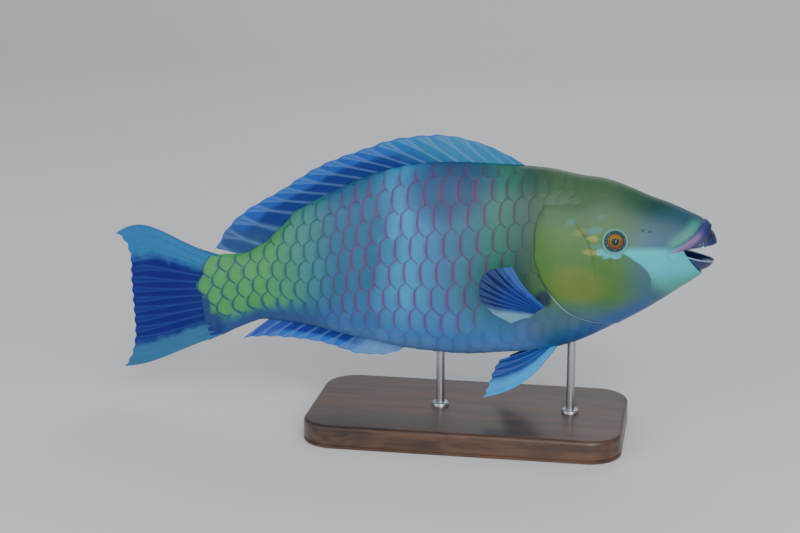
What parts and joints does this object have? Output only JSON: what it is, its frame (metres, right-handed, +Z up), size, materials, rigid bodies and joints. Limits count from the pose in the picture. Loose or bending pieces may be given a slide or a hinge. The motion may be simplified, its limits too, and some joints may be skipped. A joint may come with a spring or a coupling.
{
  "type": "parrotfish display model",
  "caption": "Life-size parrotfish with a beak, folded back fin and forked tail, held over a flat base by short rods.",
  "frame": {"origin": "centre of the underside of the stand's base", "axes": "+X toward the fish's snout, +Y toward the fish's left, +Z up; the right side faces -Y"},
  "size_m": [0.3684, 0.1172, 0.181],
  "materials": {
    "head_skin": "painted cast skin, green, moist sheen",
    "jaw_skin": "painted cast skin, pale turquoise",
    "cheek_skin": "painted cast skin, golden green",
    "flank_skin": "painted scales, blue-green with pink edges",
    "tail_skin": "painted scales, yellow-green with dark edges",
    "beak": "smooth dark blue tooth plate with pale edges",
    "eye": "clear gloss over an orange iris",
    "fin": "thin rayed membrane, royal blue with pale bands",
    "pale_fin": "thin rayed membrane, turquoise to violet blue",
    "stand_wood": "dark satin wood",
    "stand_steel": "brushed"
  },
  "bodies": {
    "root": {"head": "head_skin", "lower_jaw": "jaw_skin", "gill_cover_right": "cheek_skin", "gill_cover_left": "cheek_skin", "torso": "flank_skin", "tail_stalk": "tail_skin", "upper_beak": "beak", "lower_beak": "beak", "eye_right": "eye", "eye_left": "eye", "dorsal_fin": "fin", "anal_fin": "fin", "caudal_fin": "fin", "pectoral_fin_right": "fin", "pectoral_fin_left": "fin", "pelvic_fin_right": "pale_fin", "pelvic_fin_left": "pale_fin", "stand_base": "stand_wood", "stand_rod_front": "stand_steel", "stand_rod_rear": "stand_steel"}
  },
  "joints": []
}
